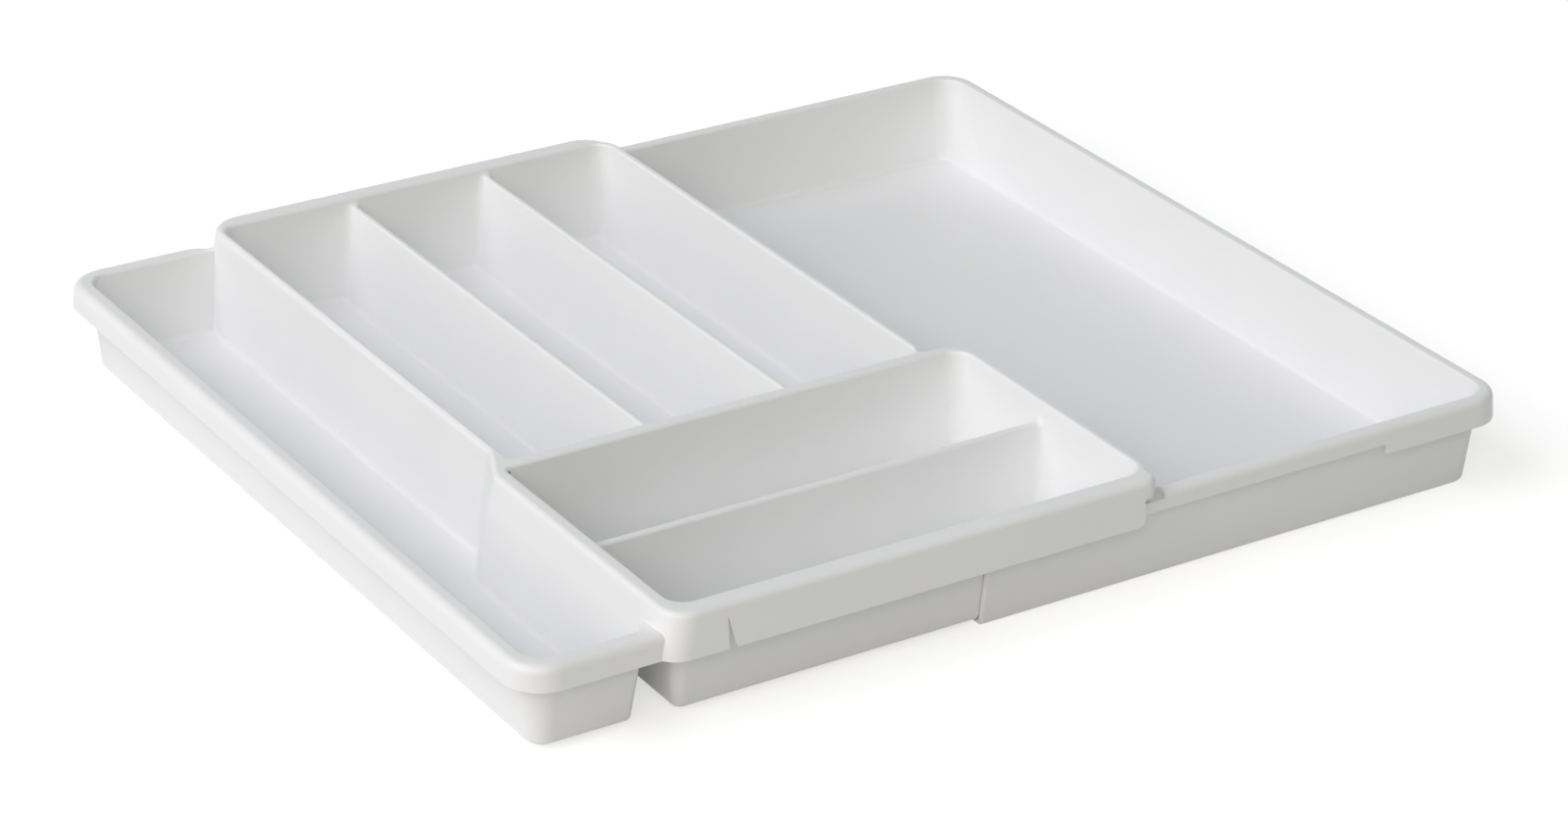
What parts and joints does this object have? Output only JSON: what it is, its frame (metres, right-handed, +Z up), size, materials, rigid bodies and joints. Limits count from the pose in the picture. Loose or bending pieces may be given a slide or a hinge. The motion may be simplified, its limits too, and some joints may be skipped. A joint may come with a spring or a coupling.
{
  "type": "cutlery tray",
  "caption": "Extending plastic cutlery tray with long and crosswise compartments, a side channel and an open tray that slides out from underneath.",
  "frame": {"origin": "middle of the extended tray's footprint on the drawer floor", "axes": "+X towards the sliding tray's outer end, +Y towards the back ends of the long compartments, +Z up"},
  "size_m": [0.445, 0.389, 0.0473],
  "materials": {
    "white_plastic": "satin white injection-moulded plastic"
  },
  "bodies": {
    "upper_tray_body": {"upper_tray": "white_plastic"},
    "sliding_tray_body": {"sliding_tray": "white_plastic"}
  },
  "joints": [
    {"name": "sliding_tray_slide", "type": "slide", "parent": "upper_tray_body", "child": "sliding_tray_body", "axis": [1, 0, 0], "range_m": [-0.1186, 0]}
  ]
}
